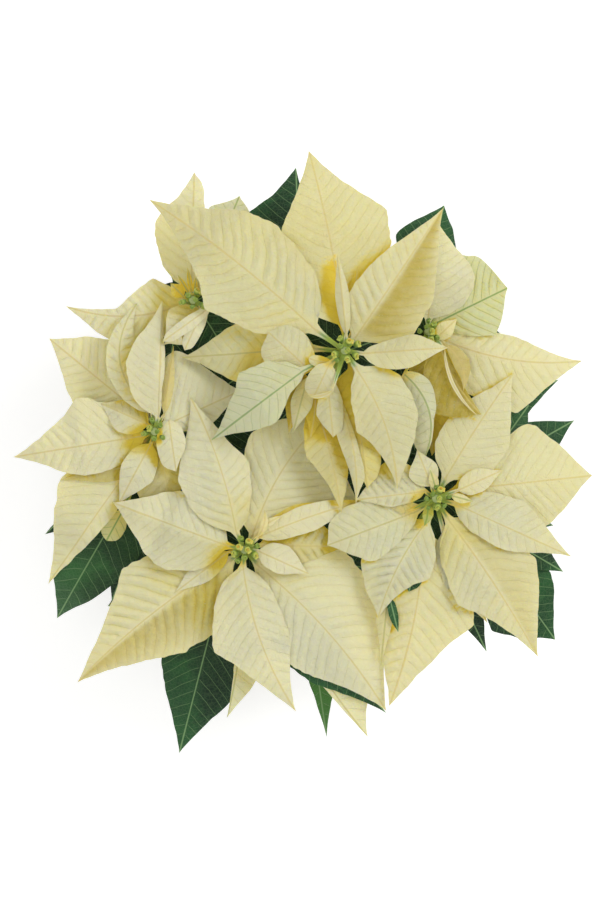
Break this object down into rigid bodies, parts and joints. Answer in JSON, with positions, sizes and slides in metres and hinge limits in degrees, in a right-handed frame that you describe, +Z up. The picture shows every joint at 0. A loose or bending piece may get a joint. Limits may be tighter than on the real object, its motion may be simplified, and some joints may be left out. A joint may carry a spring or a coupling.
{
  "type": "potted poinsettia",
  "caption": "Bushy poinsettia with broad cream star-shaped bracts round small green cyathia, toothed dark green leaves under them, in a plain tapered pot with a rim.",
  "frame": {"origin": "centre of the pot's flat bottom", "axes": "+Z up along the pot's axis, +Y towards the tallest head, +X to the right of it seen from above"},
  "size_m": [0.4093, 0.4273, 0.3251],
  "materials": {
    "bract": "soft matt petal",
    "cyathium": "waxy",
    "leaf": "matt leaf with a low sheen",
    "bark": "rough",
    "soil": "crumbly",
    "pot": "matt"
  },
  "bodies": {
    "root": {"bracts_a": "bract", "bracts_b": "bract", "bracts_c": "bract", "bracts_d": "bract", "bracts_e": "bract", "bracts_f": "bract", "cyathia_a": "cyathium", "cyathia_b": "cyathium", "cyathia_c": "cyathium", "cyathia_d": "cyathium", "cyathia_e": "cyathium", "cyathia_f": "cyathium", "leafy_stem_a": "leaf", "leafy_stem_b": "leaf", "leafy_stem_c": "leaf", "leafy_stem_d": "leaf", "leafy_stem_e": "leaf", "leafy_stem_f": "leaf", "trunk": "bark", "soil": "soil", "pot": "pot"}
  },
  "joints": []
}
